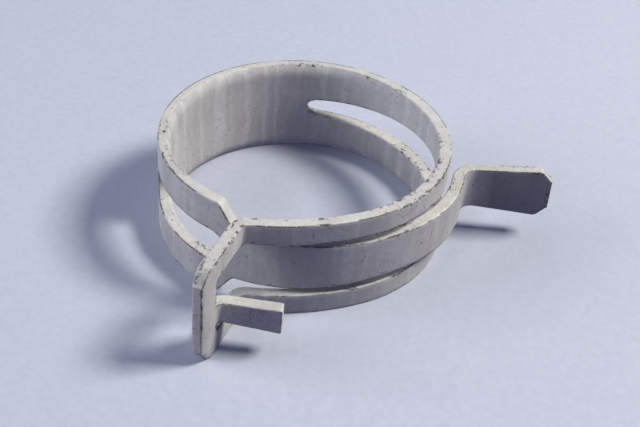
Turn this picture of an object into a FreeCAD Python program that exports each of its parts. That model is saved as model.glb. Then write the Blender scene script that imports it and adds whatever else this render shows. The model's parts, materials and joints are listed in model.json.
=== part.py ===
import FreeCAD, Part
import math
import os

from FreeCAD import Vector

# Spring band hose clamp, bent from one flat strip of spring steel.
# The strip is split lengthwise: a narrow tongue at one end passes through a slotted fork
# at the other, and each end turns outward into a jaw that pliers squeeze.
# Origin: centre of the bore, halfway across the band. +Z runs along the bore. Millimetres.

# Driving dimensions
BORE_RADIUS = 19.3          # inside of the relaxed ring
THICKNESS = 1.9             # strip thickness
BAND_WIDTH = 15.0           # full width of the strip, along Z
HINGE_GAP = 0.06            # slit between two sections that flex against each other

# Where the ring is cut into sections, in degrees around +Z
BOW_CENTRE = 137.5          # middle of the full-width bow, opposite the jaws
TONGUE_CUTS = (150.0, 179.0, 208.0, 237.0, 266.0, 295.0, 324.0)
FORK_CUTS = (125.0, 95.0, 65.0, 35.0, 5.0, -25.0, -55.0)

# Fork: two arms either side of a slot that widens towards the jaw
FORK_SLOT_END = 91.5        # degrees, closed end of the slot
FORK_SLOT = ((96.0, 1.2), (0.0, 3.1), (-32.0, 4.4), (-180.0, 4.4))   # degrees, half height
FORK_FLAT_START = -63.0     # degrees, where the arms ease off the circle
FORK_FLAT_RADIUS = 32.0
FORK_FLAT_TURN = 27.0       # degrees
FORK_STRAIGHT = 0.7
FORK_BEND_RADIUS = 1.8      # mid-thickness
FORK_BEND_TURN = 72.0       # degrees
FORK_JAW_LENGTH = 11.1
FORK_JAW_CHAMFER = 1.6, 2.0   # along the jaw, across it
WINDOW_LENGTH = 7.6         # window in the jaw that the tongue was pushed through
WINDOW_HALF = 4.4

# Stop tab, lanced from the window and bent towards the other jaw
TAB_HIGH = -0.05
TAB_LOW_ROOT = -3.2
TAB_LOW_END = -3.85
TAB_BEND_RADIUS = 1.95
TAB_BEND_TURN = 77.0        # degrees
TAB_STRAIGHT = 7.4

# Tongue side: a band with a closed slot, then shoulders, then the narrow tongue
BAND_SLOT = (189.5, 243.5)  # degrees, closed ends of the slot
BAND_SLOT_HALF = 2.6
SHOULDER = (240.3, 247.0)   # degrees, full width to tongue width
# Half height of the tongue by degrees
TONGUE_HALF = ((247.0, 4.1), (275.0, 3.65), (300.0, 3.3), (318.0, 3.2), (400.0, 3.2))
TONGUE_EASE_START = 298.5   # degrees, where the tongue eases off the circle
TONGUE_EASE = ((6.5, 41.0), (15.7, 20.1))                             # length, radius
TONGUE_BEND_RADIUS = 2.9    # mid-thickness
TONGUE_JAW_HEADING = -1.3   # degrees from +X
TONGUE_JAW_LENGTH = 11.0
TONGUE_JAW_HALF = 3.85
TONGUE_JAW_CHAMFER = 1.6

MID_RADIUS = BORE_RADIUS + THICKNESS / 2
HALF_WIDTH = BAND_WIDTH / 2
PRISM_DEPTH = 8.0           # reach of a cutting prism either side of the strip
MARGIN = 2.0                # how far a cutting outline runs past its section


# The strip's centre line is a start point, a heading and stretches of steady curvature.

def make_path(x, y, heading, stretches):
    return {"x": x, "y": y, "heading": heading, "stretches": stretches}


def advance(x, y, heading, length, curvature):
    """Point and heading after a stretch of steady curvature."""
    turned = heading + length * curvature
    if abs(curvature) < 1e-9:
        return x + length * math.cos(heading), y + length * math.sin(heading), heading
    radius = 1.0 / curvature
    x += radius * (math.sin(turned) - math.sin(heading))
    y += radius * (math.cos(heading) - math.cos(turned))
    return x, y, turned


def spans(path, start, end):
    """The stretches between two distances, each as (x, y, heading, length, curvature)."""
    x, y, heading = path["x"], path["y"], path["heading"]
    found = []
    travelled = 0.0
    for length, curvature in path["stretches"]:
        low = max(start, travelled)
        high = min(end, travelled + length)
        if high - low > 1e-6:
            place = advance(x, y, heading, low - travelled, curvature)
            found.append(place + (high - low, curvature))
        x, y, heading = advance(x, y, heading, length, curvature)
        travelled += length
    return found


def place_at(path, distance):
    """Point and heading at a distance along the centre line."""
    x, y, heading = path["x"], path["y"], path["heading"]
    for length, curvature in path["stretches"]:
        if distance <= length:
            return advance(x, y, heading, distance, curvature)
        x, y, heading = advance(x, y, heading, length, curvature)
        distance -= length
    return advance(x, y, heading, distance, 0.0)


def beside(place, offset, z=0.0):
    """A point to the left of the centre line by offset."""
    x, y, heading = place
    return Vector(x - offset * math.sin(heading), y + offset * math.cos(heading), z)


def side_edges(stretches, offset, z):
    """Edges that follow the centre line at a sideways offset."""
    edges = []
    for x, y, heading, length, curvature in stretches:
        first = beside((x, y, heading), offset, z)
        middle = beside(advance(x, y, heading, length / 2, curvature), offset, z)
        last = beside(advance(x, y, heading, length, curvature), offset, z)
        if abs(curvature) < 1e-9:
            edges.append(Part.LineSegment(first, last).toShape())
        else:
            edges.append(Part.Arc(first, middle, last).toShape())
    return edges


def strip(path, start, end, low=-HALF_WIDTH, high=HALF_WIDTH):
    """A length of bent strip between two distances and two heights."""
    stretches = spans(path, start, end)
    left = side_edges(stretches, THICKNESS / 2, low)
    right = side_edges(stretches, -THICKNESS / 2, low)
    caps = []
    for distance in (start, end):
        place = place_at(path, distance)
        ends = beside(place, THICKNESS / 2, low), beside(place, -THICKNESS / 2, low)
        caps.append(Part.LineSegment(*ends).toShape())
    wire = Part.Wire(Part.__sortEdges__(left + right + caps))
    return Part.Face(wire).extrude(Vector(0, 0, high - low))


def prism(path, middle, outline):
    """A prism through the strip at a distance, from an outline of (distance, height)."""
    x, y, heading = place_at(path, middle)
    along = Vector(math.cos(heading), math.sin(heading), 0)
    across = Vector(-math.sin(heading), math.cos(heading), 0)
    base = Vector(x, y, 0)
    corners = []
    for distance, height in outline:
        reach = (beside(place_at(path, distance), 0.0) - base).dot(along)
        corners.append(base + along * reach + across * -PRISM_DEPTH + Vector(0, 0, height))
    wire = Part.makePolygon(corners + corners[:1])
    return Part.Face(wire).extrude(across * (2 * PRISM_DEPTH))


def drill(path, distance, radius):
    """A round cutter through the strip at mid-width."""
    x, y, heading = place_at(path, distance)
    across = Vector(-math.sin(heading), math.cos(heading), 0)
    return Part.makeCylinder(radius, 2 * PRISM_DEPTH, Vector(x, y, 0) - across * PRISM_DEPTH, across)


def interpolate(table, value):
    """Straight-line reading of a table of (value, result) in rising order."""
    for (v0, r0), (v1, r1) in zip(table, table[1:]):
        if value <= v1:
            return r0 + (r1 - r0) * (value - v0) / (v1 - v0)
    return table[-1][1]


def profile(table, start, end):
    """The corners of a height profile between two distances."""
    inner = [(d, h) for d, h in table if start < d < end]
    return [(start, interpolate(table, start))] + inner + [(end, interpolate(table, end))]


def mirrored(corners):
    return [(distance, -height) for distance, height in reversed(corners)]


def save(node, shape):
    solid = shape.removeSplitter()
    if not solid.isValid() or len(solid.Solids) != 1:
        raise RuntimeError(node + " is not one valid solid")
    solid.Solids[0].exportStep("parts/" + node + ".step")
    print(node, "volume", round(solid.Volume, 2))


# Centre lines. The tongue side runs anticlockwise from the bow, the fork side clockwise.

def tongue_distance(angle):
    return math.radians(angle - BOW_CENTRE) * MID_RADIUS


def fork_distance(angle):
    return math.radians(BOW_CENTRE - angle) * MID_RADIUS


def tongue_path():
    start = math.radians(BOW_CENTRE)
    turned = math.radians(TONGUE_EASE_START) + math.pi / 2
    stretches = [(tongue_distance(TONGUE_EASE_START), 1 / MID_RADIUS)]
    for length, radius in TONGUE_EASE:
        stretches.append((length, 1 / radius))
        turned += length / radius
    bend = turned - 2 * math.pi - math.radians(TONGUE_JAW_HEADING)
    stretches.append((bend * TONGUE_BEND_RADIUS, -1 / TONGUE_BEND_RADIUS))
    stretches.append((TONGUE_JAW_LENGTH, 0.0))
    x, y = MID_RADIUS * math.cos(start), MID_RADIUS * math.sin(start)
    return make_path(x, y, start + math.pi / 2, stretches)


def fork_path():
    start = math.radians(BOW_CENTRE)
    stretches = [
        (fork_distance(FORK_FLAT_START), -1 / MID_RADIUS),
        (math.radians(FORK_FLAT_TURN) * FORK_FLAT_RADIUS, -1 / FORK_FLAT_RADIUS),
        (FORK_STRAIGHT, 0.0),
        (math.radians(FORK_BEND_TURN) * FORK_BEND_RADIUS, 1 / FORK_BEND_RADIUS),
        (FORK_JAW_LENGTH, 0.0),
    ]
    x, y = MID_RADIUS * math.cos(start), MID_RADIUS * math.sin(start)
    return make_path(x, y, start - math.pi / 2, stretches)


def tab_path(fork, window_end):
    x, y, heading = place_at(fork, window_end)
    stretches = [
        (math.radians(TAB_BEND_TURN) * TAB_BEND_RADIUS, -1 / TAB_BEND_RADIUS),
        (TAB_STRAIGHT, 0.0),
    ]
    return make_path(x, y, heading + math.pi, stretches)


def total(path, count):
    return sum(length for length, curvature in path["stretches"][:count])


def section_ends(cuts, to_distance, last):
    """Start and end of each section beyond the bow, with half a slit at each hinge."""
    marks = [to_distance(angle) for angle in cuts]
    starts = [mark + HINGE_GAP / 2 for mark in marks]
    ends = [mark - HINGE_GAP / 2 for mark in marks[1:]] + [last]
    return list(zip(starts, ends))


def arms(path, start, end, table):
    """The two strips of metal above and below a slot."""
    middle = (start + end) / 2
    whole = strip(path, start, end)
    edge = profile(table, start - MARGIN, end + MARGIN)
    top = [(end + MARGIN, BAND_WIDTH), (start - MARGIN, BAND_WIDTH)]
    upper = whole.common(prism(path, middle, edge + top))
    lower = whole.common(prism(path, middle, [(d, -h) for d, h in edge + top]))
    return upper, lower


def narrowed(path, start, end, table):
    """A length of strip trimmed to a half height that varies along it."""
    edge = profile(table, start - MARGIN, end + MARGIN)
    return strip(path, start, end).common(prism(path, (start + end) / 2, edge + mirrored(edge)))


def tongue_side(path):
    bend_start, bend_end = total(path, 3), total(path, 4)
    sections = section_ends(TONGUE_CUTS, tongue_distance, bend_start)
    slot_start, slot_end = (tongue_distance(angle) for angle in BAND_SLOT)
    slot_table = [(slot_start - BAND_SLOT_HALF, BAND_SLOT_HALF), (slot_end, BAND_SLOT_HALF)]
    round_start, round_end = slot_start + BAND_SLOT_HALF, slot_end - BAND_SLOT_HALF
    tongue_table = [(tongue_distance(angle), half) for angle, half in TONGUE_HALF]

    save("bow_left", strip(path, *sections[0]))

    start, end = sections[1]
    slot = [(round_start, BAND_SLOT_HALF), (end + MARGIN, BAND_SLOT_HALF)]
    rear = strip(path, start, end).cut(prism(path, (start + end) / 2, slot + mirrored(slot)))
    save("slot_rear_end", rear.cut(drill(path, round_start, BAND_SLOT_HALF)))

    upper, lower = arms(path, *sections[2], slot_table)
    save("slot_upper_rail", upper)
    save("slot_lower_rail", lower)

    start, end = sections[3]
    slot = [(start - MARGIN, BAND_SLOT_HALF), (round_end, BAND_SLOT_HALF)]
    step_start, step_end = (tongue_distance(angle) for angle in SHOULDER)
    outline = [(start - MARGIN, HALF_WIDTH), (step_start, HALF_WIDTH), (step_end, TONGUE_HALF[0][1])]
    outline.append((end + MARGIN, interpolate(tongue_table, end + MARGIN)))
    front = strip(path, start, end).common(prism(path, (start + end) / 2, outline + mirrored(outline)))
    front = front.cut(prism(path, (start + end) / 2, slot + mirrored(slot)))
    save("tongue_shoulder", front.cut(drill(path, round_end, BAND_SLOT_HALF)))

    for name, ends in zip(("tongue_root", "tongue_middle", "tongue_tip"), sections[4:]):
        save(name, narrowed(path, *ends, tongue_table))

    half = TONGUE_HALF[-1][1]
    save("tongue_jaw_bend", strip(path, bend_start, bend_end, -half, half))
    plate_end = bend_end + TONGUE_JAW_LENGTH
    corner = plate_end - TONGUE_JAW_CHAMFER
    outline = [(bend_end - MARGIN, half), (bend_end, half), (corner, TONGUE_JAW_HALF)]
    outline.append((plate_end, TONGUE_JAW_HALF - TONGUE_JAW_CHAMFER))
    plate = strip(path, bend_end, plate_end)
    save("tongue_jaw_plate", plate.common(prism(path, plate_end, outline + mirrored(outline))))


def fork_side(path):
    bend_start, bend_end = total(path, 3), total(path, 4)
    plate_end = bend_end + FORK_JAW_LENGTH
    window_end = bend_end + WINDOW_LENGTH
    sections = section_ends(FORK_CUTS, fork_distance, bend_start)
    slot_table = [(fork_distance(angle), half) for angle, half in FORK_SLOT]

    save("bow_right", strip(path, *sections[0]))

    start, end = sections[1]
    end_radius = FORK_SLOT[0][1]
    round_start = fork_distance(FORK_SLOT_END) + end_radius
    slot = profile(slot_table, round_start, end + MARGIN)
    root = strip(path, start, end).cut(prism(path, (start + end) / 2, slot + mirrored(slot)))
    save("fork_root", root.cut(drill(path, round_start, interpolate(slot_table, round_start))))

    for number, ends in enumerate(sections[2:], 1):
        upper, lower = arms(path, *ends, slot_table)
        save("fork_upper_arm_" + str(number), upper)
        save("fork_lower_arm_" + str(number), lower)

    save("fork_upper_bend", strip(path, bend_start, bend_end, WINDOW_HALF, HALF_WIDTH))
    save("fork_lower_bend", strip(path, bend_start, bend_end, -HALF_WIDTH, -WINDOW_HALF))

    corner_length, corner_height = FORK_JAW_CHAMFER
    outline = [(bend_end - MARGIN, HALF_WIDTH), (plate_end - corner_length, HALF_WIDTH)]
    outline.append((plate_end, HALF_WIDTH - corner_height))
    window = [(bend_end - MARGIN, WINDOW_HALF), (window_end, WINDOW_HALF)]
    plate = strip(path, bend_end, plate_end).common(prism(path, plate_end, outline + mirrored(outline)))
    save("fork_jaw_plate", plate.cut(prism(path, plate_end, window + mirrored(window))))

    tab = tab_path(path, window_end)
    bend, end = total(tab, 1), total(tab, 2)
    flare = [(bend, TAB_LOW_ROOT), (end, TAB_LOW_END), (end, TAB_HIGH), (bend, TAB_HIGH)]
    straight = strip(tab, bend, end, TAB_LOW_END, TAB_HIGH).common(prism(tab, bend, flare))
    root = strip(tab, 0.0, bend, TAB_LOW_ROOT, TAB_HIGH)
    save("stop_tab", root.fuse(straight))


def main():
    os.makedirs("parts", exist_ok=True)
    tongue = tongue_path()
    fork = fork_path()
    bow = make_path(tongue["x"], tongue["y"], tongue["heading"], tongue["stretches"][:1])
    bow_end = tongue_distance(TONGUE_CUTS[0]) - HINGE_GAP / 2
    halves = strip(bow, 0.0, bow_end).fuse(strip(fork, 0.0, fork_distance(FORK_CUTS[0]) - HINGE_GAP / 2))
    save("bow_centre", halves)
    tongue_side(tongue)
    fork_side(fork)


main()
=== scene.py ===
"""Looks of a spring band hose clamp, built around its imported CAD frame.

The strip is modelled flat, as distance along it, height across it and depth through it, all in
millimetres, and is then bent onto its centre lines. Blender's own lengths are metres.
"""

import json
import math

import bmesh
import bpy
import numpy as np
from mathutils import Matrix, Vector
from mathutils.kdtree import KDTree


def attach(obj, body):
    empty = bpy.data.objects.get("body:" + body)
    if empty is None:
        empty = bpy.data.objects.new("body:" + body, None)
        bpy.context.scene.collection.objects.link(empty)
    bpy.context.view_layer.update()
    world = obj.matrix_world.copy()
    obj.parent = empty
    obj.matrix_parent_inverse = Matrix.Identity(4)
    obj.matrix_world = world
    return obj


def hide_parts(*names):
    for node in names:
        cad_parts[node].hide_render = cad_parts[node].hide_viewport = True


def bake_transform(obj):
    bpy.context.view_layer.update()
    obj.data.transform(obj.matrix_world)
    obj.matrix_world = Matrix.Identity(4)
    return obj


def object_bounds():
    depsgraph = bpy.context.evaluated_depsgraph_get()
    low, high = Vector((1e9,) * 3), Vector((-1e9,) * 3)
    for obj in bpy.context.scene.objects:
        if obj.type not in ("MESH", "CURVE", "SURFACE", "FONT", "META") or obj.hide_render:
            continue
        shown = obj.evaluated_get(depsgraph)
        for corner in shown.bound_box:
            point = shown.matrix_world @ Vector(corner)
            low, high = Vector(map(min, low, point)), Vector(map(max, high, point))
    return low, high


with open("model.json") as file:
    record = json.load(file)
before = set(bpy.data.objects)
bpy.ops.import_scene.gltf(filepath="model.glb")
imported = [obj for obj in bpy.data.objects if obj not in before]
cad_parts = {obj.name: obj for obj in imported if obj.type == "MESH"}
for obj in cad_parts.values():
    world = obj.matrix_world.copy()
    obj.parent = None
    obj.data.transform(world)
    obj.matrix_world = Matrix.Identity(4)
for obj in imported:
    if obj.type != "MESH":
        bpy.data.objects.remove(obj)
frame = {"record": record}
cad_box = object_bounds()

MM = 0.001

# Dimensions, as in the CAD model. Angles are in degrees about the bore, anticlockwise from +X.
BORE_RADIUS = 19.3
THICKNESS = 1.9
HALF_WIDTH = 7.5
MID_RADIUS = BORE_RADIUS + THICKNESS / 2
BOW_CENTRE = 137.5
TONGUE_CUTS = (150.0, 179.0, 208.0, 237.0, 266.0, 295.0, 324.0)
FORK_CUTS = (125.0, 95.0, 65.0, 35.0, 5.0, -25.0, -55.0)
FORK_SLOT_END = 91.5
# Half height of the fork's slot, by angle
FORK_SLOT = ((96.0, 1.2), (0.0, 3.1), (-32.0, 4.4), (-180.0, 4.4))
FORK_FLAT_START = -63.0
FORK_FLAT_RADIUS = 32.0
FORK_FLAT_TURN = 27.0
FORK_STRAIGHT = 0.7
FORK_BEND_RADIUS = 1.8
FORK_BEND_TURN = 72.0
FORK_JAW_LENGTH = 11.1
FORK_JAW_CHAMFER = 1.6, 2.0
FORK_JAW_CORNER = (0.3, 0.62), (0.0, 1.1)    # shares of its length left and its height fallen
WINDOW_LENGTH = 7.6
WINDOW_HALF = 4.4
TAB_HIGH = -0.05              # height of its upper edge
TAB_LOW_ROOT = -3.2           # heights of its lower edge, at its root and at its end
TAB_LOW_END = -3.85
TAB_CORNER = 0.2, 0.15        # length and height of the corners at its end
TAB_BEND_RADIUS = 1.95
TAB_BEND_TURN = 77.0
TAB_STRAIGHT = 7.4
TAB_ROOT = 0.9                # how far the visual tab starts inside the jaw plate
TAB_SINK = 0.03, 0.003        # how far its faces lie under the plate's, where it starts and ends
TAB_RISE = 0.3                # length past the plate over which they come level
BAND_SLOT = (189.5, 243.5)
BAND_SLOT_HALF = 2.6
SHOULDER = (240.3, 247.0)
# Half height of the tongue, by angle
TONGUE_HALF = ((247.0, 4.1), (275.0, 3.65), (300.0, 3.3), (318.0, 3.2), (400.0, 3.2))
TONGUE_EASE_START = 298.5
TONGUE_EASE = ((6.5, 41.0), (15.7, 20.1))
TONGUE_BEND_RADIUS = 2.9
TONGUE_JAW_HEADING = -1.3
TONGUE_JAW_LENGTH = 11.0
TONGUE_JAW_HALF = 3.85
TONGUE_JAW_CHAMFER = 1.6
TONGUE_JAW_DROP = 1.08        # share of it that its end has fallen, so it stays inside the CAD's

# Punched edges: rounded over on the bore side, and crisp on the side away from it
EDGE_OUTER = 0.50, 0.06       # reach in from the edge, drop through the thickness
EDGE_INNER = 0.32, 0.36
EDGE_TAB = 0.12, 0.10         # the bore side of the stop tab, which is crisper
EDGE_BOW = 1.80, 0.72         # the bow's rims on the bore side, which ease off further
BOW_ROUNDING = 22.0, 38.0     # distances from the bow's centre where that starts to fade and ends
JAW_LEAN = 2.2, 0.36          # the outer face where the fork's jaw ends
CLEARANCE = 0.006             # how far the faces lie under the CAD's, whose curves are faceted
ARC_STEPS = 6                 # facets round a rolled edge
WALL_STEPS = 4                # facets through the thickness of a cut face
CORNER_BLUR = 0.4             # half length over which the outline's corners are rounded
BLUR_SAMPLES = 9
CORNER_MARGIN = 0.6           # how far each side of a corner has close cross-sections
CORNER_SECTIONS = 13
WINDOW_CORNER = 0.9           # corner radius of the jaw's window
SPACING = 0.36                # distance between cross-sections on gentle curves
BEND_SPACING = 0.13           # and round the tight bends
BEND_MARGIN = 0.1             # how far before and after a bend that goes on
OUTLINE_SPACING = 0.025       # between the points that distances to an edge are read from
OUTLINE_STEP = 0.05           # between the places where an outline's height is worked out
OUTLINE_START = -3.0          # where an outline starts, so that it runs on past a side's start
TIGHT_CURVATURE = 0.2         # a bend curved more than this, in 1/mm, is tight
WINDOW_STEP = 0.012           # how far before the window's end its last open section is
FIRST_STEP = 0.02             # from a length's start to its second cross-section
LEAST_STEP = 0.009            # nearest that two cross-sections may otherwise be
EDGE_SHARE = 0.45             # most of a face's height that the rows near one edge may take
MIDDLE_ROWS = 6               # rows between those near the two edges
MERGE_GRID = 2000             # points in the same 1/2000 mm are one point
SAME_PLACE = 1e-6
BEYOND = 1e3                  # stands for a height that sets no limit
JAW_SHADE_START = 0.6            # how far before the tongue's jaw the painted shade on its outer face starts
JAW_SHADE_FADE = 3.0             # and over what length it comes in


# Centre lines

def make_path(x, y, heading, stretches, outward):
    """outward is 1 where the side away from the bore is right of the heading, and -1 where left."""
    return {"start": (x, y, heading), "stretches": stretches, "outward": outward}


def locate(path, distances):
    """Points of the centre line and unit vectors away from the bore, at distances along it."""
    s = np.asarray(distances, float)
    x, y, heading = path["start"]
    points = np.zeros((len(s), 2))
    headings = np.zeros(len(s))
    travelled = 0.0
    last = len(path["stretches"]) - 1
    for index, (length, curvature) in enumerate(path["stretches"]):
        here = (s >= travelled) | (index == 0)
        if index < last:
            here &= s < travelled + length
        d = np.append(s[here] - travelled, length)
        turned = heading + d * curvature
        if curvature == 0:
            px, py = x + d * math.cos(heading), y + d * math.sin(heading)
        else:
            px = x + (np.sin(turned) - math.sin(heading)) / curvature
            py = y + (math.cos(heading) - np.cos(turned)) / curvature
        points[here] = np.stack([px[:-1], py[:-1]], 1)
        headings[here] = turned[:-1]
        x, y, heading = px[-1], py[-1], turned[-1]
        travelled += length
    normals = path["outward"] * np.stack([np.sin(headings), -np.cos(headings)], 1)
    return points, normals, headings


def whole_length(path):
    return sum(length for length, _ in path["stretches"])


def last_start(path):
    """Where the last stretch starts, which is a jaw or the straight part of the tab."""
    return sum(length for length, _ in path["stretches"][:-1])


def tongue_distance(angle):
    return math.radians(angle - BOW_CENTRE) * MID_RADIUS


def fork_distance(angle):
    return math.radians(BOW_CENTRE - angle) * MID_RADIUS


def tongue_path():
    start = math.radians(BOW_CENTRE)
    turned = math.radians(TONGUE_EASE_START) + math.pi / 2
    stretches = [(tongue_distance(TONGUE_EASE_START), 1 / MID_RADIUS)]
    for length, radius in TONGUE_EASE:
        stretches.append((length, 1 / radius))
        turned += length / radius
    bend = turned - 2 * math.pi - math.radians(TONGUE_JAW_HEADING)
    stretches.append((bend * TONGUE_BEND_RADIUS, -1 / TONGUE_BEND_RADIUS))
    stretches.append((TONGUE_JAW_LENGTH, 0.0))
    x, y = MID_RADIUS * math.cos(start), MID_RADIUS * math.sin(start)
    return make_path(x, y, start + math.pi / 2, stretches, 1)


def fork_path():
    start = math.radians(BOW_CENTRE)
    stretches = [
        (fork_distance(FORK_FLAT_START), -1 / MID_RADIUS),
        (math.radians(FORK_FLAT_TURN) * FORK_FLAT_RADIUS, -1 / FORK_FLAT_RADIUS),
        (FORK_STRAIGHT, 0.0),
        (math.radians(FORK_BEND_TURN) * FORK_BEND_RADIUS, 1 / FORK_BEND_RADIUS),
        (FORK_JAW_LENGTH, 0.0),
    ]
    x, y = MID_RADIUS * math.cos(start), MID_RADIUS * math.sin(start)
    return make_path(x, y, start - math.pi / 2, stretches, -1)


def tab_path(fork, window_end):
    """The stop tab's centre line, which starts a little inside the jaw plate."""
    points, _, headings = locate(fork, [window_end + TAB_ROOT])
    stretches = [
        (TAB_ROOT, 0.0),
        (math.radians(TAB_BEND_TURN) * TAB_BEND_RADIUS, -1 / TAB_BEND_RADIUS),
        (TAB_STRAIGHT, 0.0),
    ]
    return make_path(points[0][0], points[0][1], headings[0] + math.pi, stretches, 1)


# Outlines: half height of the strip, and half height of any slot in it, along each centre line

def smooth(knots, s):
    """Straight lines between knots, with the corners rounded."""
    places, heights = zip(*knots)
    shifts = np.linspace(-CORNER_BLUR, CORNER_BLUR, BLUR_SAMPLES)
    return sum(np.interp(s + shift, places, heights) for shift in shifts) / len(shifts)


def round_end(s, tip, radius, direction):
    """Half height of a slot's round closed end, and no limit beyond it."""
    along = np.clip((s - tip) * direction, 0, radius)
    height = np.sqrt(radius ** 2 - (radius - along) ** 2)
    return np.where((s - tip) * direction >= radius, BEYOND, height)


def tongue_outer(s):
    jaw = last_start(TONGUE)
    end = whole_length(TONGUE)
    knots = [(tongue_distance(SHOULDER[0]), HALF_WIDTH)]
    knots += [(tongue_distance(angle), half) for angle, half in TONGUE_HALF[:-1]]
    knots += [(jaw, TONGUE_HALF[-1][1]), (end - TONGUE_JAW_CHAMFER, TONGUE_JAW_HALF)]
    knots += [(end, TONGUE_JAW_HALF - TONGUE_JAW_DROP * TONGUE_JAW_CHAMFER)]
    return smooth(knots, s)


def tongue_inner(s):
    first, last = (tongue_distance(angle) for angle in BAND_SLOT)
    height = np.minimum(BAND_SLOT_HALF, round_end(s, first, BAND_SLOT_HALF, 1))
    return np.minimum(height, round_end(s, last, BAND_SLOT_HALF, -1))


def fork_outer(s):
    end = whole_length(FORK)
    along, across = FORK_JAW_CHAMFER
    knots = [(end - along, HALF_WIDTH)]
    for left, fallen in FORK_JAW_CORNER:
        knots.append((end - left * along, HALF_WIDTH - fallen * across))
    return smooth(knots, s)


def fork_inner(s):
    window = last_start(FORK) + WINDOW_LENGTH
    table = [(fork_distance(angle), half) for angle, half in FORK_SLOT]
    corner = np.clip(window - s, 0, WINDOW_CORNER)
    rounded = WINDOW_HALF - WINDOW_CORNER + np.sqrt(corner * (2 * WINDOW_CORNER - corner))
    height = np.minimum(smooth(table, s), rounded)
    tip = fork_distance(FORK_SLOT_END)
    height = np.minimum(height, round_end(s, tip, FORK_SLOT[0][1], 1))
    return np.where(s >= window, 0.0, height)


def tab_low(s):
    places = [last_start(TAB), whole_length(TAB)]
    return np.interp(s, places, [TAB_LOW_ROOT, TAB_LOW_END])


def tab_outer(s):
    along, across = TAB_CORNER
    end = whole_length(TAB)
    corner = np.interp(s, [end - along, end], [0.0, across])
    return (TAB_HIGH - tab_low(s)) / 2 - corner


def tab_middle(s):
    return (TAB_HIGH + tab_low(s)) / 2


def zero(s):
    return np.zeros(len(s))


TONGUE = tongue_path()
FORK = fork_path()
WINDOW_END = last_start(FORK) + WINDOW_LENGTH
TAB = tab_path(FORK, WINDOW_END)
# sign is -1 where the coating's pattern counts distance along the strip backwards
SIDES = {
    "tongue": {"path": TONGUE, "outer": tongue_outer, "inner": tongue_inner, "middle": zero,
               "end": whole_length(TONGUE), "sign": 1},
    "fork": {"path": FORK, "outer": fork_outer, "inner": fork_inner, "middle": zero,
             "end": whole_length(FORK), "sign": -1},
    "tab": {"path": TAB, "outer": tab_outer, "inner": zero, "middle": tab_middle,
            "end": whole_length(TAB), "sign": 1},
}


def arc_offsets(reach):
    """Offsets in from an edge that follow a rolled edge evenly."""
    return reach * (1 - np.cos(np.linspace(0, math.pi / 2, ARC_STEPS + 1)))


def quarter_offsets(radius, degrees):
    """Offsets in from the tip of a round end, at even steps of angle."""
    return radius * (1 - np.cos(np.radians(np.arange(0, 91, degrees))))


def features(side):
    """Distances along the strip where extra cross-sections are needed."""
    path, end = side["path"], side["end"]
    found = list(end - arc_offsets(EDGE_OUTER[0])) + list(end - arc_offsets(EDGE_INNER[0]))
    travelled = 0.0
    for length, curvature in path["stretches"]:
        if abs(curvature) > TIGHT_CURVATURE:
            first, last = travelled - BEND_MARGIN, travelled + length + BEND_MARGIN
            found += list(np.arange(first, last, BEND_SPACING))
        travelled += length
    tips = []
    corners = []
    if path is TONGUE:
        tips = [(tongue_distance(BAND_SLOT[0]), 1), (tongue_distance(BAND_SLOT[1]), -1)]
        corners = [tongue_distance(angle) for angle in SHOULDER] + [end - TONGUE_JAW_CHAMFER]
    if path is FORK:
        tips = [(fork_distance(FORK_SLOT_END), 1)]
        corners = [end - FORK_JAW_CHAMFER[0]]
        found += list(WINDOW_END - quarter_offsets(WINDOW_CORNER, degrees=9))
        found += [WINDOW_END - WINDOW_STEP, WINDOW_END]
        found += list(WINDOW_END + arc_offsets(EDGE_OUTER[0]))
        found += list(WINDOW_END + arc_offsets(EDGE_INNER[0]))
        found += list(end - arc_offsets(JAW_LEAN[0]))
    for tip, direction in tips:
        radius = BAND_SLOT_HALF if path is TONGUE else FORK_SLOT[0][1]
        found += list(tip + direction * quarter_offsets(radius, degrees=6))
        found += list(tip - direction * arc_offsets(EDGE_OUTER[0]))
        found += list(tip - direction * arc_offsets(EDGE_INNER[0]))
    for corner in corners:
        found += list(corner + np.linspace(-CORNER_MARGIN, CORNER_MARGIN, CORNER_SECTIONS))
    return np.array(found)


def stations(side, start, end):
    """The cross-sections of a length of strip, in rising order."""
    count = max(2, int(math.ceil((end - start) / SPACING)))
    s = np.concatenate([np.linspace(start, end, count + 1), features(side)])
    s = np.unique(np.round(s[(s > start) & (s < end)], 4))
    keep = [start, start + FIRST_STEP]
    for value in s:
        if value - keep[-1] > LEAST_STEP:
            keep.append(value)
    while end - keep[-1] < LEAST_STEP:
        keep.pop()
    keep.append(end)
    return np.array(keep)


def resample(points):
    """Points close together along a polyline."""
    points = np.array(points, float)
    lengths = np.append(0, np.cumsum(np.linalg.norm(np.diff(points, axis=0), axis=1)))
    at = np.arange(0, lengths[-1], OUTLINE_SPACING)
    return np.stack([np.interp(at, lengths, points[:, 0]), np.interp(at, lengths, points[:, 1])], 1)


def outline_tree(side):
    """A search tree of points on every cut edge of a side of the strip."""
    end = side["end"]
    s = np.unique(np.concatenate([np.arange(OUTLINE_START, end, OUTLINE_STEP), features(side)]))
    s = s[(s >= OUTLINE_START) & (s <= end)]
    outer, inner, middle = side["outer"](s), side["inner"](s), side["middle"](s)
    found = []
    for sign in (1, -1):
        found.append(resample(np.stack([s, middle + sign * outer], 1)))
        slot = inner > 0
        slot[1:] |= inner[:-1] > 0
        slot[:-1] |= inner[1:] > 0
        open_at = np.nonzero(slot)[0]
        for run in np.split(open_at, np.nonzero(np.diff(open_at) > 1)[0] + 1):
            if len(run) > 1:
                found.append(resample(np.stack([s[run], sign * inner[run]], 1)))
    found.append(resample([(end, middle[-1] - outer[-1]), (end, middle[-1] + outer[-1])]))
    points = np.concatenate(found)
    tree = KDTree(len(points))
    for index, point in enumerate(points):
        tree.insert((point[0], point[1], 0), index)
    tree.balance()
    return tree


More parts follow.
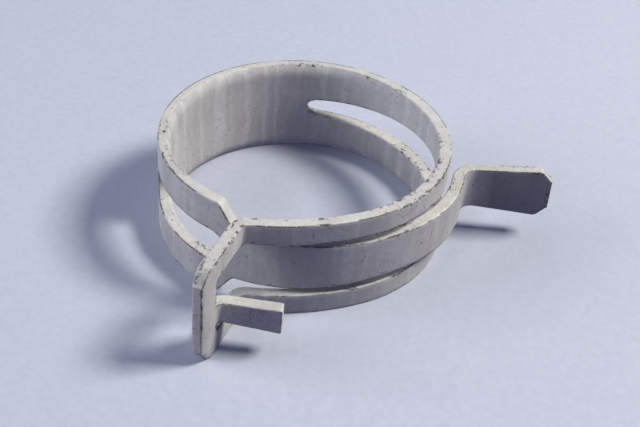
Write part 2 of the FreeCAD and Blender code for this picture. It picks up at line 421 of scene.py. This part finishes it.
def rows(low, high, reach):
    """Heights between two edges, close together near each."""
    near = np.minimum(arc_offsets(reach), EDGE_SHARE * (high - low))
    middle = np.linspace(near[-1], (high - low) - near[-1], MIDDLE_ROWS + 2)[1:-1]
    return low + np.concatenate([near, middle, (high - low) - near[::-1]])


def rolled(distance, reach, depth):
    """How far a rounded edge has fallen at a distance in from the edge."""
    inside = 1 - np.clip(distance / reach, 0, 1)
    return depth * (1 - np.sqrt(1 - inside ** 2))


def eased(distance, reach, depth):
    """How far a face that eases down to a crisp edge has fallen at a distance in from it."""
    return depth * (1 - np.clip(distance / reach, 0, 1)) ** 2


def bow_share(side, s):
    """How much of the bow's larger rounding there is: 1 on the bow, falling to 0."""
    if side["path"] is TAB:
        return 0.0
    full, gone = BOW_ROUNDING
    share = float(np.clip((gone - s) / (gone - full), 0, 1))
    return share * share * (3 - 2 * share)


def jaw_lean(side, s):
    """How far the outer face has leaned in near the end of the fork's jaw."""
    return eased(side["end"] - s, *JAW_LEAN) if side["path"] is FORK else 0.0


def tab_sink(side, s):
    """How far the tab's faces lie under the jaw plate's, where one is inside the other."""
    if side["path"] is not TAB:
        return 0.0
    return np.interp(s, [0, TAB_ROOT, TAB_ROOT + TAB_RISE], TAB_SINK + (0,))


def half_section(side, tree, s, sign):
    """One cross-section of the upper (1) or lower (-1) half, as rows of (s, z, n, arris, cut).

    arris is the distance to the nearest edge, and cut is 1 on a cut face.
    """
    at = np.array([s])
    outer, inner, middle = (side[part](at)[0] for part in ("outer", "inner", "middle"))
    at_end = abs(s - side["end"]) < SAME_PLACE
    at_window = side["path"] is FORK and abs(s - WINDOW_END) < SAME_PLACE
    share = bow_share(side, s)
    inner_edge = EDGE_TAB if side["path"] is TAB else EDGE_INNER
    inner_reach = inner_edge[0] + share * (EDGE_BOW[0] - inner_edge[0])
    faces = []
    for face, reach in ((1, EDGE_OUTER[0]), (-1, inner_reach)):
        z = rows(inner, outer, reach)
        distance = np.array([tree.find((s, middle + sign * h, 0))[2] for h in z])
        distance[-1] = 0
        if inner > 0:
            distance[0] = 0
        if at_end:
            distance[:] = 0
        if at_window:
            distance[z <= WINDOW_HALF - WINDOW_CORNER] = 0
        if face == 1:
            fallen = eased(distance, *EDGE_OUTER) + jaw_lean(side, s)
        else:
            fallen = np.maximum(rolled(distance, *inner_edge), share * eased(outer - z, *EDGE_BOW))
        n = face * (THICKNESS / 2 - CLEARANCE - fallen - tab_sink(side, s))
        column = np.stack([np.full(len(z), s), middle + sign * z, n, distance, distance == 0], 1)
        faces.append(column)
    return faces


def between(first, second):
    """The points of a cut face between an outer edge point and an inner one."""
    shares = np.linspace(0, 1, WALL_STEPS + 1)[1:-1]
    made = first + (second - first) * shares[:, None]
    made[:, 3] = np.minimum(first[2] - made[:, 2], made[:, 2] - second[2])
    made[:, 4] = 1
    return made


def ladder(first, second):
    """The faces between two rows of points."""
    return list(zip(first, first[1:], second[1:], second))


def strip_mesh(name, side, start, end):
    """A closed mesh of a length of strip, in millimetres of flat strip and bent to shape."""
    tree = outline_tree(side)
    at = stations(side, start, end)
    points, quads, caps = [], [], []

    def add(row):
        points.append(row)
        return len(points) - 1

    for sign in (1, -1):
        rings = []
        slots = side["inner"](at) > 0
        for s in at:
            outside, inside = half_section(side, tree, s, sign)
            wall = between(outside[-1], inside[-1])
            slot = between(outside[0], inside[0])
            rings.append([[add(p) for p in part] for part in (outside, wall, inside, slot)])
        for index, (here, after) in enumerate(zip(rings, rings[1:])):
            quads += ladder(here[0], after[0]) + ladder(here[2], after[2])
            loops = [(1, -1)]
            if slots[index] or slots[index + 1]:
                loops.append((3, 0))
            for part, edge in loops:
                first = [here[0][edge]] + here[part] + [here[2][edge]]
                second = [after[0][edge]] + after[part] + [after[2][edge]]
                quads += ladder(first, second)
        for ring in (rings[0], rings[-1]):
            outside, wall, inside, slot = ring
            previous = [outside[0]] + slot + [inside[0]]
            for upper, lower in zip(outside[1:], inside[1:]):
                across = wall
                if upper != outside[-1]:
                    across = [add(p) for p in between(points[upper], points[lower])]
                column = [upper] + across + [lower]
                quads += ladder(previous, column)
                if ring is rings[0] or end < side["end"]:
                    caps += ladder(previous, column)
                previous = column
    return bend_mesh(name, side, np.array(points), quads, set(caps))


def bend_mesh(name, side, points, quads, caps):
    """Merges shared points, bends them onto the centre line, and makes the object."""
    keys = np.round(points[:, :3] * MERGE_GRID).astype(np.int64)
    _, first, index = np.unique(keys, axis=0, return_index=True, return_inverse=True)
    index = index.reshape(-1)
    points = points[first]
    faces, is_cap = [], []
    for quad in quads:
        corners = []
        for corner in index[list(quad)]:
            if int(corner) not in corners:
                corners.append(int(corner))
        if len(corners) > 2:
            faces.append(corners)
            is_cap.append(quad in caps)
    centres, normals, _ = locate(side["path"], points[:, 0])
    bent = np.zeros((len(points), 3))
    bent[:, :2] = centres + normals * points[:, 2:3]
    bent[:, 2] = points[:, 1]
    mesh = bpy.data.meshes.new(name)
    mesh.from_pydata((bent * MM).tolist(), [], faces)
    flat = mesh.attributes.new("flat", "FLOAT_VECTOR", "POINT")
    values = points[:, :3].copy()
    values[:, 0] *= side["sign"]
    flat.data.foreach_set("vector", values.astype(np.float32).ravel())
    # Painted shade: a share that darkens the outer face of the tongue's jaw, fading in just before
    # the jaw
    rubbed = np.zeros(len(points))
    if side["path"] is TONGUE:
        jaw = np.clip((points[:, 0] - last_start(TONGUE) + JAW_SHADE_START) / JAW_SHADE_FADE, 0, 1)
        rubbed = jaw * (points[:, 2] > 0) * (1 - points[:, 4])
    for label, column in (("arris", points[:, 3]), ("cut", points[:, 4]), ("rubbed", rubbed)):
        attribute = mesh.attributes.new(label, "FLOAT", "POINT")
        attribute.data.foreach_set("value", column.astype(np.float32))
    working = bmesh.new()
    working.from_mesh(mesh)
    bmesh.ops.recalc_face_normals(working, faces=working.faces)
    for face in working.faces:
        face.smooth = True
    for edge in working.edges:
        edge.smooth = len({is_cap[face.index] for face in edge.link_faces}) == 1
    open_edges = sum(1 for edge in working.edges if len(edge.link_faces) != 2)
    working.to_mesh(mesh)
    working.free()
    mesh.update()
    print("PIECE", name, len(mesh.vertices), "open edges", open_edges)
    made = bpy.data.objects.new(name, mesh)
    bpy.context.scene.collection.objects.link(made)
    return made


# Materials

class Graph:
    """A material's node tree, with one short call per node."""

    def __init__(self, name):
        self.material = bpy.data.materials.new(name)
        self.material.use_nodes = True
        self.tree = self.material.node_tree
        self.tree.nodes.clear()

    def node(self, kind, inputs=None, **settings):
        made = self.tree.nodes.new(kind)
        for key, value in settings.items():
            setattr(made, key, value)
        for key, value in (inputs or {}).items():
            if isinstance(value, bpy.types.NodeSocket):
                self.tree.links.new(value, made.inputs[key])
            else:
                made.inputs[key].default_value = value
        return made

    def fold(self, operation, first, *others):
        """One value from several, two at a time."""
        for other in others:
            joined = self.node("ShaderNodeMath", {0: first, 1: other}, operation=operation)
            first = joined.outputs[0]
        return first

    def times(self, *values):
        return self.fold("MULTIPLY", *values)

    def plus(self, *values):
        return self.fold("ADD", *values)

    def most(self, *values):
        return self.fold("MAXIMUM", *values)

    def attribute(self, name, output):
        return self.node("ShaderNodeAttribute", attribute_name=name).outputs[output]

    def stretched(self, vector, scale, shift=(0, 0, 0)):
        inputs = {"Vector": vector, "Scale": scale, "Location": shift}
        return self.node("ShaderNodeMapping", inputs).outputs[0]

    def noise(self, vector, scale, detail, roughness, distortion=0.0):
        inputs = {"Vector": vector, "Scale": scale, "Detail": detail, "Roughness": roughness}
        inputs["Distortion"] = distortion
        return self.node("ShaderNodeTexNoise", inputs).outputs[0]

    def step(self, value, low, high):
        """0 below low, 1 above high, smooth between. low may be the larger, to fall instead."""
        inputs = {"Value": value, "From Min": low, "From Max": high}
        made = self.node("ShaderNodeMapRange", inputs, interpolation_type="SMOOTHSTEP")
        return made.outputs[0]

    def remap(self, value, low, high, to_low, to_high):
        inputs = {"Value": value, "From Min": low, "From Max": high}
        inputs.update({"To Min": to_low, "To Max": to_high})
        return self.node("ShaderNodeMapRange", inputs).outputs[0]

    def mix(self, factor, a, b):
        """One colour into another. Its inputs 6 and 7 and its output 2 are the ones for colours."""
        return self.node("ShaderNodeMix", {0: factor, 6: a, 7: b}, data_type="RGBA").outputs[2]

    def bump(self, height, strength, distance):
        inputs = {"Height": height, "Strength": strength, "Distance": distance}
        return self.node("ShaderNodeBump", inputs).outputs[0]

    def surface(self, inputs):
        """Joins the surface to the material's output."""
        shader = self.node("ShaderNodeBsdfPrincipled", inputs).outputs[0]
        self.node("ShaderNodeOutputMaterial", {"Surface": shader})
        return self.material


def colour(r, g, b):
    return (r, g, b, 1.0)


def strip_fields(g):
    """What the coating is worked out from: places on the flat strip, and shared noises."""
    flat = g.attribute("flat", "Vector")
    depth = g.node("ShaderNodeSeparateXYZ", {0: flat}).outputs[2]
    wander = g.noise(g.stretched(flat, (0.3, 0.25, 0.3), (9, 4, 2)), 1.0, 2.0, 0.5)
    shift = g.node("ShaderNodeCombineXYZ", {"X": g.remap(wander, 0.2, 0.8, -0.5, 0.5)}).outputs[0]
    patches = g.noise(g.stretched(flat, (1.0, 0.6, 0.5), (4, 0, 7)), 0.17, 2.0, 0.5)
    return {
        "flat": flat,
        "wavy": g.node("ShaderNodeVectorMath", {0: flat, 1: shift}, operation="ADD").outputs[0],
        "arris": g.attribute("arris", "Fac"),
        "cut": g.attribute("cut", "Fac"),
        "rubbed": g.attribute("rubbed", "Fac"),
        "outside": g.step(depth, -0.2, 0.5),
        "blotch": g.noise(flat, 0.14, 3.0, 0.55),
        "mottle": g.noise(flat, 1.0, 4.0, 0.62),
        "grain": g.noise(flat, 6.0, 3.0, 0.7),
        "worn": g.step(patches, 0.44, 0.60),
    }


def coated_face(g, at):
    """Soft blotches, fine grain, bands across the strip where it was bent, and painted shade on the
    outer face of the tongue's jaw.
    """
    bands = g.noise(g.stretched(at["wavy"], (0.42, 0.018, 0.25)), 1.0, 2.0, 0.55)
    lines = g.noise(g.stretched(at["wavy"], (2.6, 0.05, 0.3), (3, 1, 5)), 1.0, 2.0, 0.6)
    pale_bands = g.times(g.step(bands, 0.52, 0.60), g.remap(at["outside"], 0.0, 1.0, 0.55, 0.34))
    dark_bands = g.times(g.step(bands, 0.42, 0.34), 0.30)
    blotch = g.step(at["blotch"], 0.35, 0.68)
    base = g.mix(blotch, colour(0.52, 0.508, 0.488), colour(0.63, 0.615, 0.588))
    base = g.mix(pale_bands, base, colour(0.78, 0.765, 0.73))
    base = g.mix(dark_bands, base, colour(0.40, 0.39, 0.38))
    base = g.mix(g.remap(lines, 0.45, 0.75, 0.0, 0.20), base, colour(0.74, 0.73, 0.69))
    base = g.mix(g.remap(at["mottle"], 0.36, 0.68, 0.0, 0.34), base, colour(0.43, 0.42, 0.41))
    base = g.mix(g.remap(at["grain"], 0.34, 0.66, 0.0, 0.34), base, colour(0.38, 0.37, 0.36))
    # Painted shade: the outer face of the tongue's jaw is darkened to a bluish slate
    return g.mix(g.times(at["rubbed"], 0.62), base, colour(0.13, 0.135, 0.16))


def cut_face(g, at):
    """Paler than the coating, with a cast that drifts, and dirtier in long patches."""
    cast = g.noise(at["flat"], 0.6, 2.0, 0.5)
    pale = g.mix(g.step(cast, 0.38, 0.62), colour(0.67, 0.655, 0.60), colour(0.62, 0.64, 0.57))
    pale = g.mix(g.remap(at["mottle"], 0.38, 0.66, 0.0, 0.62), pale, colour(0.46, 0.45, 0.41))
    pale = g.mix(g.remap(at["grain"], 0.36, 0.64, 0.0, 0.40), pale, colour(0.42, 0.40, 0.37))
    return g.mix(g.times(at["worn"], 0.30), pale, colour(0.40, 0.385, 0.36))


def edge_line(g, at):
    """A thin dark line along the outer arrises, which comes and goes."""
    run = g.noise(g.stretched(at["flat"], (0.20, 0.35, 0.9), (2, 8, 1)), 1.0, 3.0, 0.6)
    gaps = g.noise(at["flat"], 2.4, 2.0, 0.6)
    line = g.times(g.step(run, 0.44, 0.51), g.step(at["arris"], 0.20, 0.06))
    return g.times(line, g.step(gaps, 0.36, 0.46), at["outside"])


def cracks_and_ticks(g, at):
    """Fine cracks in the coating, and short ticks across the bend, on the outer side."""
    swirl = g.node("ShaderNodeTexNoise", {"Vector": at["flat"], "Scale": 0.8}).outputs[1]
    cell = g.node("ShaderNodeVectorMath", {0: at["flat"], 1: swirl}, operation="ADD").outputs[0]
    inputs = {"Vector": cell, "Scale": 0.34}
    border = g.node("ShaderNodeTexVoronoi", inputs, feature="DISTANCE_TO_EDGE").outputs["Distance"]
    where = g.noise(g.stretched(at["flat"], (1, 1, 0.4), (12, 3, 0)), 0.26, 3.0, 0.6)
    cracks = g.times(g.step(border, 0.024, 0.009), g.step(where, 0.585, 0.63), at["outside"])
    ticks = g.noise(g.stretched(at["wavy"], (3.4, 0.28, 0.5), (7, 2, 0)), 1.0, 2.0, 0.5)
    ticks = g.times(g.step(ticks, 0.69, 0.73), g.step(at["blotch"], 0.44, 0.54), at["outside"])
    return g.most(cracks, ticks)


def steel_material():
    """Matt zinc-flake coating on spring steel, worn and pitted along its arrises."""
    g = Graph("zinc_flake_coating")
    at = strip_fields(g)
    base = g.mix(g.times(at["cut"], 0.85), coated_face(g, at), cut_face(g, at))

    # Chips that hug the arrises, and pits and dots anywhere
    amount = g.remap(at["worn"], 0.0, 1.0, 0.12, 1.05)
    reach = g.times(g.step(at["arris"], 0.70, 0.0), amount)
    ragged = g.noise(g.stretched(at["flat"], (0.62, 1.0, 1.0)), 1.9, 4.0, 0.7, 0.4)
    chip_level = g.plus(ragged, g.times(reach, 0.145))
    chips = g.step(chip_level, 0.675, 0.705)
    fine = g.noise(at["flat"], 3.6, 3.0, 0.62)
    pit_level = g.plus(fine, g.times(amount, at["cut"], 0.052), g.times(reach, 0.05))
    pits = g.step(pit_level, 0.665, 0.70)
    specks = g.noise(g.stretched(at["flat"], (1, 1, 1), (31, 5, 2)), 3.9, 2.0, 0.5)
    dots = g.step(specks, 0.725, 0.76)
    bold = g.most(chips, g.times(edge_line(g, at), 0.9))
    faint = g.most(pits, dots, cracks_and_ticks(g, at))
    marks = g.most(bold, g.times(faint, 0.52))

    # Bare steel in the marks, a stained rim round each chip, and paler arrises, partly polish from
    # wear and partly a painted highlight
    grain, mottle = at["grain"], at["mottle"]
    tone = g.remap(grain, 0.3, 0.7, 0.0, 1.0)
    bare = g.mix(tone, colour(0.055, 0.050, 0.047), colour(0.17, 0.16, 0.15))
    halo = g.times(g.step(chip_level, 0.60, 0.69), 0.42)
    # Paler along the worn arrises: partly polish, partly a painted highlight on the edges
    arris_polish_and_highlight = g.times(g.step(at["arris"], 0.30, 0.02), amount, 0.16)
    base = g.mix(halo, base, colour(0.28, 0.265, 0.25))
    base = g.mix(arris_polish_and_highlight, base, colour(0.74, 0.73, 0.69))
    base = g.mix(marks, base, bare)

    height = g.plus(g.times(grain, 0.45), g.times(mottle, 0.55), g.times(marks, -0.9))
    inputs = {"Base Color": base, "Roughness": g.remap(mottle, 0.3, 0.7, 0.58, 0.72)}
    inputs.update({"Normal": g.bump(height, 0.6, 0.00009), "Metallic": 0.12})
    inputs["Specular IOR Level"] = 0.35
    return g.surface(inputs)


def floor_material():
    g = Graph("pale_paper")
    where = g.node("ShaderNodeTexCoord").outputs["Object"]
    tone = g.noise(where, 900.0, 3.0, 0.6)
    share = g.remap(tone, 0.3, 0.7, 0.0, 1.0)
    base = g.mix(share, colour(0.43, 0.46, 0.54), colour(0.47, 0.50, 0.58))
    return g.surface({"Base Color": base, "Roughness": 0.9, "Normal": g.bump(tone, 0.1, 0.0002)})


# The object

STEEL = steel_material()
TONGUE_BODIES = ("bow", "bow_left", "slot_end", "slot_rails", "shoulder", "tongue_root",
                 "tongue_middle", "tongue_end")
FORK_BODIES = ("bow", "bow_right", "fork_root", "fork_arms_1", "fork_arms_2", "fork_arms_3",
               "fork_arms_4", "fork_end")
LAST_BLEND = 8.0              # how far past the last cut the strip is stiff again


def centre_point(path, s):
    points, _, _ = locate(path, [s])
    return (points[0][0] * MM, points[0][1] * MM, 0.0)


def flexing_lengths(label, cuts, to_distance, bodies):
    """One piece of strip for each joint, from the middle of one body to the middle of the next."""
    side = SIDES[label]
    members = frame["record"]["behaviour"]["bodies"]
    angles = [BOW_CENTRE] + [(a + b) / 2 for a, b in zip(cuts, cuts[1:])]
    seams = [to_distance(angle) for angle in angles] + [side["end"]]
    for index, (first, second) in enumerate(zip(bodies, bodies[1:])):
        start, end = seams[index], seams[index + 1]
        piece = strip_mesh("strip_" + second, side, start, end)
        piece.data.materials.append(STEEL)
        stiff = end if index + 2 < len(bodies) else to_distance(cuts[-1]) + LAST_BLEND
        centre_point(side["path"], start)
        centre_point(side["path"], stiff)
        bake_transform(piece)
        nodes = [n for n in members[second] if n != "stop_tab"]
        if second == "bow_left":
            nodes += members["bow"]
        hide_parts(*nodes)


flexing_lengths("tongue", TONGUE_CUTS, tongue_distance, TONGUE_BODIES)
flexing_lengths("fork", FORK_CUTS, fork_distance, FORK_BODIES)
tab = strip_mesh("stop_tab_bent", SIDES["tab"], 0.0, SIDES["tab"]["end"])
tab.data.materials.append(STEEL)
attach(tab, "fork_end")
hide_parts("stop_tab")


# Floor, lights and camera, in metres

FLOOR_HALF = 1.5
WORLD_TINT = 0.46, 0.49, 1.0
WORLD_STRENGTH = 0.205
CAMERA_PLACE = 0.0030, -0.1438, 0.1018
CAMERA_PITCH = 37.0           # degrees below level
CAMERA_ROLL = 4.68            # degrees, right side up
CAMERA_LENS = 66.94           # mm, on a sensor 36 mm wide


def add_floor():
    size = FLOOR_HALF
    mesh = bpy.data.meshes.new("floor")
    z = cad_box[0].z
    corners = [(-size, -size, z), (size, -size, z), (size, size, z), (-size, size, z)]
    mesh.from_pydata(corners, [], [(0, 1, 2, 3)])
    made = bpy.data.objects.new("floor", mesh)
    made.data.materials.append(floor_material())
    made.visible_diffuse = False    # keeps the floor from lighting the clamp's sides from below
    bpy.context.scene.collection.objects.link(made)


def add_area(name, location, size, power, tint):
    """A square light that faces the bore's centre."""
    light = bpy.data.lights.new(name, "AREA")
    light.size = size
    light.energy = power
    light.color = tint
    made = bpy.data.objects.new(name, light)
    made.location = location
    made.rotation_euler = (-Vector(location)).to_track_quat("-Z", "Y").to_euler()
    bpy.context.scene.collection.objects.link(made)


def add_camera():
    camera = bpy.data.cameras.new("camera")
    camera.sensor_width = 36.0
    camera.lens = CAMERA_LENS
    camera.clip_start, camera.clip_end = 0.01, 10.0
    pitch, roll = math.radians(CAMERA_PITCH), math.radians(CAMERA_ROLL)
    forward = Vector((0.0, math.cos(pitch), -math.sin(pitch)))
    up = Vector((0.0, math.sin(pitch), math.cos(pitch)))
    across = Vector((1.0, 0.0, 0.0))
    right = across * math.cos(roll) + up * math.sin(roll)
    above = up * math.cos(roll) - across * math.sin(roll)
    turn = Matrix((right, above, -forward)).transposed()
    made = bpy.data.objects.new("camera", camera)
    made.matrix_world = Matrix.Translation(CAMERA_PLACE) @ turn.to_4x4()
    bpy.context.scene.collection.objects.link(made)
    bpy.context.scene.camera = made


def add_world():
    world = bpy.data.worlds.new("studio")
    bpy.context.scene.world = world
    world.use_nodes = True
    back = world.node_tree.nodes["Background"]
    back.inputs["Color"].default_value = colour(*WORLD_TINT)
    back.inputs["Strength"].default_value = WORLD_STRENGTH


add_floor()
add_area("key", location=(0.435, 0.062, 0.50), size=0.2, power=5.4, tint=(1.0, 0.965, 0.90))
add_area("fill", location=(-0.60, -0.08, 0.30), size=0.4, power=3.1, tint=(0.90, 0.93, 1.0))
add_camera()
add_world()
bpy.context.scene.view_settings.view_transform = "Standard"
